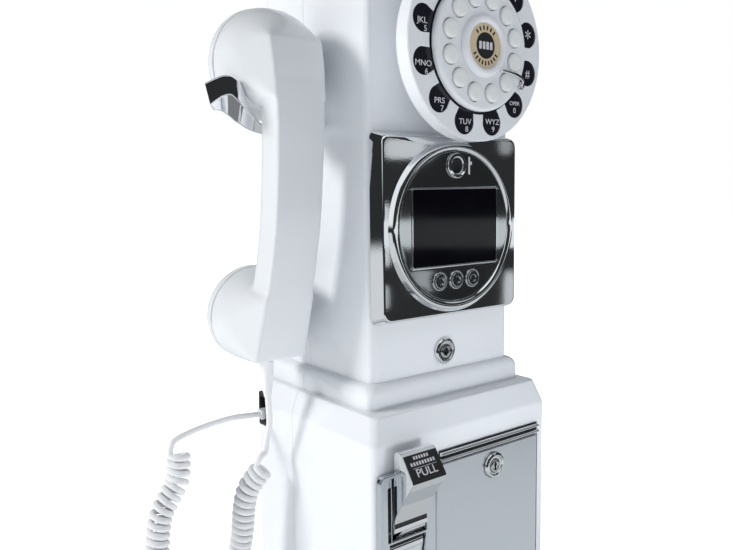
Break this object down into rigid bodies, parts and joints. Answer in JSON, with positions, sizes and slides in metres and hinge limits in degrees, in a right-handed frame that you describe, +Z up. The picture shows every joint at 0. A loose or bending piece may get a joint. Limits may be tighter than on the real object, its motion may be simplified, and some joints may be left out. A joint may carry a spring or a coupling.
{
  "type": "corded wall telephone",
  "caption": "Upright wall telephone in payphone style: round dial of push keys, display unit, coin vault with locks, and a corded handset hung on a side hook.",
  "frame": {"origin": "centre of the housing's bottom face", "axes": "+X to the right seen from the front, +Y into the wall, +Z up; the front faces -Y and the handset hangs on -X"},
  "size_m": [0.2489, 0.157, 0.4808],
  "materials": {
    "white_plastic": "gloss moulded",
    "cream_card": "matt printed card",
    "black_plastic": "gloss",
    "black_panel": "high gloss",
    "display_glass": "polished dark lens",
    "chrome": "polished",
    "satin_metal": "satin",
    "steel": "plain",
    "circuit_board": "matt",
    "white_vinyl": "smooth vinyl"
  },
  "bodies": {
    "housing": {"coin_chute": "steel", "coin_cup": "white_vinyl", "coin_gauge": "chrome", "cord": "white_vinyl", "dial_face": "white_plastic", "dial_housing": "white_plastic", "display_module": "steel", "display_panel": "black_panel", "display_window": "display_glass", "door_rail": "chrome", "face_plate": "chrome", "finger_stop": "chrome", "flap_pin": "steel", "front_cover": "white_plastic", "hook_pin": "steel", "hook_spring": "steel", "hook_switch": "black_plastic", "hub_boss": "white_plastic", "hub_disc": "white_plastic", "hub_label": "cream_card", "keypad_board": "circuit_board", "lever_pin": "steel", "line_jack": "black_plastic", "main_board": "circuit_board", "number_plate": "black_plastic", "rear_cover": "white_plastic", "return_bezel": "satin_metal", "ringer": "black_plastic", "round_bezel": "chrome", "upper_lock_body": "chrome", "vault_hinge_pin": "steel"},
    "handset": {"handset_body": "white_plastic", "ear_cap": "white_plastic", "mouth_cap": "white_plastic", "receiver": "steel", "microphone": "black_plastic"},
    "hook": {"hook_lever": "chrome"},
    "vault_door": {"vault_door": "satin_metal", "vault_lock_body": "chrome"},
    "vault_lock": {"vault_lock_plug": "chrome"},
    "cabinet_lock": {"upper_lock_plug": "chrome"},
    "return_lever": {"return_lever": "chrome"},
    "return_flap": {"return_flap": "chrome"},
    "key_star": {"key_star": "white_plastic"},
    "key_1": {"key_1": "white_plastic"},
    "key_2": {"key_2": "white_plastic"},
    "key_3": {"key_3": "white_plastic"},
    "key_4": {"key_4": "white_plastic"},
    "key_5": {"key_5": "white_plastic"},
    "key_6": {"key_6": "white_plastic"},
    "key_7": {"key_7": "white_plastic"},
    "key_8": {"key_8": "white_plastic"},
    "key_9": {"key_9": "white_plastic"},
    "key_0": {"key_0": "white_plastic"},
    "key_hash": {"key_hash": "white_plastic"},
    "button_left": {"button_left": "black_panel"},
    "button_middle": {"button_middle": "black_panel"},
    "button_right": {"button_right": "black_panel"}
  },
  "joints": [
    {"name": "handset_lift", "type": "slide", "parent": "housing", "child": "handset", "axis": [0, -0.1045, 0.9945], "range_m": [0, 0.07], "deforming": ["cord"]},
    {"name": "hook_rise", "type": "hinge", "parent": "housing", "child": "hook", "pos_m": [-0.052, 0.008, 0.336], "axis": [0, 1, 0], "range_deg": [0, 10], "deforming": ["hook_spring"]},
    {"name": "key_star_press", "type": "slide", "parent": "housing", "child": "key_star", "axis": [0, 1, 0], "range_m": [0, 0.0015]},
    {"name": "key_1_press", "type": "slide", "parent": "housing", "child": "key_1", "axis": [0, 1, 0], "range_m": [0, 0.0015]},
    {"name": "key_2_press", "type": "slide", "parent": "housing", "child": "key_2", "axis": [0, 1, 0], "range_m": [0, 0.0015]},
    {"name": "key_3_press", "type": "slide", "parent": "housing", "child": "key_3", "axis": [0, 1, 0], "range_m": [0, 0.0015]},
    {"name": "key_4_press", "type": "slide", "parent": "housing", "child": "key_4", "axis": [0, 1, 0], "range_m": [0, 0.0015]},
    {"name": "key_5_press", "type": "slide", "parent": "housing", "child": "key_5", "axis": [0, 1, 0], "range_m": [0, 0.0015]},
    {"name": "key_6_press", "type": "slide", "parent": "housing", "child": "key_6", "axis": [0, 1, 0], "range_m": [0, 0.0015]},
    {"name": "key_7_press", "type": "slide", "parent": "housing", "child": "key_7", "axis": [0, 1, 0], "range_m": [0, 0.0015]},
    {"name": "key_8_press", "type": "slide", "parent": "housing", "child": "key_8", "axis": [0, 1, 0], "range_m": [0, 0.0015]},
    {"name": "key_9_press", "type": "slide", "parent": "housing", "child": "key_9", "axis": [0, 1, 0], "range_m": [0, 0.0015]},
    {"name": "key_0_press", "type": "slide", "parent": "housing", "child": "key_0", "axis": [0, 1, 0], "range_m": [0, 0.0015]},
    {"name": "key_hash_press", "type": "slide", "parent": "housing", "child": "key_hash", "axis": [0, 1, 0], "range_m": [0, 0.0015]},
    {"name": "button_left_press", "type": "slide", "parent": "housing", "child": "button_left", "axis": [0, 1, 0], "range_m": [0, 0.001]},
    {"name": "button_middle_press", "type": "slide", "parent": "housing", "child": "button_middle", "axis": [0, 1, 0], "range_m": [0, 0.001]},
    {"name": "button_right_press", "type": "slide", "parent": "housing", "child": "button_right", "axis": [0, 1, 0], "range_m": [0, 0.001]},
    {"name": "cabinet_lock_turn", "type": "hinge", "parent": "housing", "child": "cabinet_lock", "pos_m": [0, -0.0465, 0.194], "axis": [0, 1, 0], "range_deg": [0, 90]},
    {"name": "vault_door_open", "type": "hinge", "parent": "housing", "child": "vault_door", "pos_m": [0.0646, -0.066, 0.0716], "axis": [0, 0, 1], "range_deg": [0, 90]},
    {"name": "vault_lock_turn", "type": "hinge", "parent": "vault_door", "child": "vault_lock", "pos_m": [0.0227, -0.069, 0.1183], "axis": [0, 1, 0], "range_deg": [0, 90]},
    {"name": "return_lever_pull", "type": "hinge", "parent": "housing", "child": "return_lever", "pos_m": [-0.0515, -0.0675, 0.0972], "axis": [1, 0, 0], "range_deg": [0, 20]},
    {"name": "return_flap_swing", "type": "hinge", "parent": "housing", "child": "return_flap", "pos_m": [-0.0527, -0.0665, 0.0885], "axis": [1, 0, 0], "range_deg": [0, 40]}
  ],
  "couplings": [
    {"joint": "hook_rise", "follows": "handset_lift", "rad_per_m": 2.49}
  ]
}
